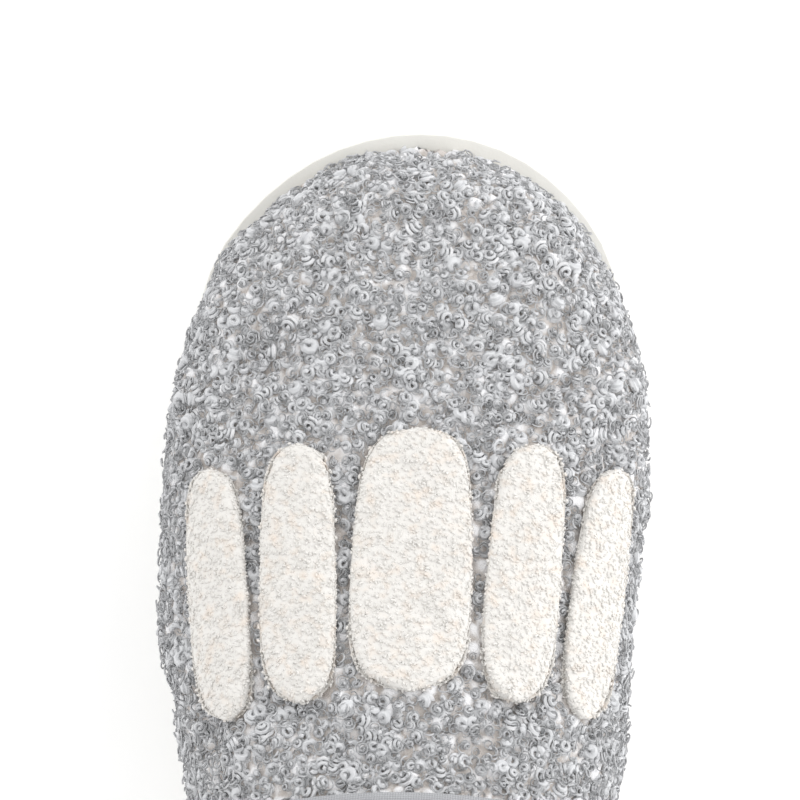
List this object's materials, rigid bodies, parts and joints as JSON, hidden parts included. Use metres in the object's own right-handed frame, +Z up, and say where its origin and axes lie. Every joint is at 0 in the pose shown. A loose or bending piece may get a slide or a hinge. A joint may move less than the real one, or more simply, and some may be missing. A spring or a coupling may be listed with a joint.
{
  "type": "plush spa slipper",
  "caption": "Left open-back plush slipper with a curly pile upper, raised petal motifs, a padded footbed and a thick light sole with a chevron tread.",
  "frame": {"origin": "centre of the whole slipper's footprint box, at the level of the floor it stands on", "axes": "+Z up, -Y towards the tip of the toe and +Y towards the heel, +X towards the outer side of the left foot"},
  "size_m": [0.1084, 0.262, 0.0968],
  "materials": {
    "outsole_rubber": "matte thermoplastic rubber with a chevron tread",
    "midsole_foam": "smooth moulded off-white foam with a soft satin skin",
    "board": "pressed fibre board",
    "memory_foam": "open-cell foam",
    "footbed_plush": "short cream plush",
    "wrap_fabric": "grey knitted fabric",
    "binding_tape": "grey ribbed tape",
    "curly_pile": "light grey curly pile",
    "interlining": "lofted polyester wadding",
    "lining_plush": "short cream plush",
    "stiffener": "thin thermoplastic toe stiffener",
    "thread": "spun polyester thread",
    "chenille": "warm cream tufted chenille"
  },
  "bodies": {
    "root": {"outsole_tread": "outsole_rubber", "midsole": "midsole_foam", "insole_board": "board", "footbed_foam": "memory_foam", "heel_cushion": "memory_foam", "footbed_cover": "footbed_plush", "footbed_wrap": "wrap_fabric", "footbed_piping": "binding_tape", "vamp_outer": "curly_pile", "vamp_interlining": "interlining", "vamp_lining": "lining_plush", "toe_puff": "stiffener", "throat_binding": "binding_tape", "throat_stitch": "thread", "bar_tack_inner": "thread", "bar_tack_outer": "thread", "petal_motif_1": "chenille", "petal_motif_2": "chenille", "petal_motif_3": "chenille", "petal_motif_4": "chenille", "petal_motif_5": "chenille"}
  },
  "joints": []
}
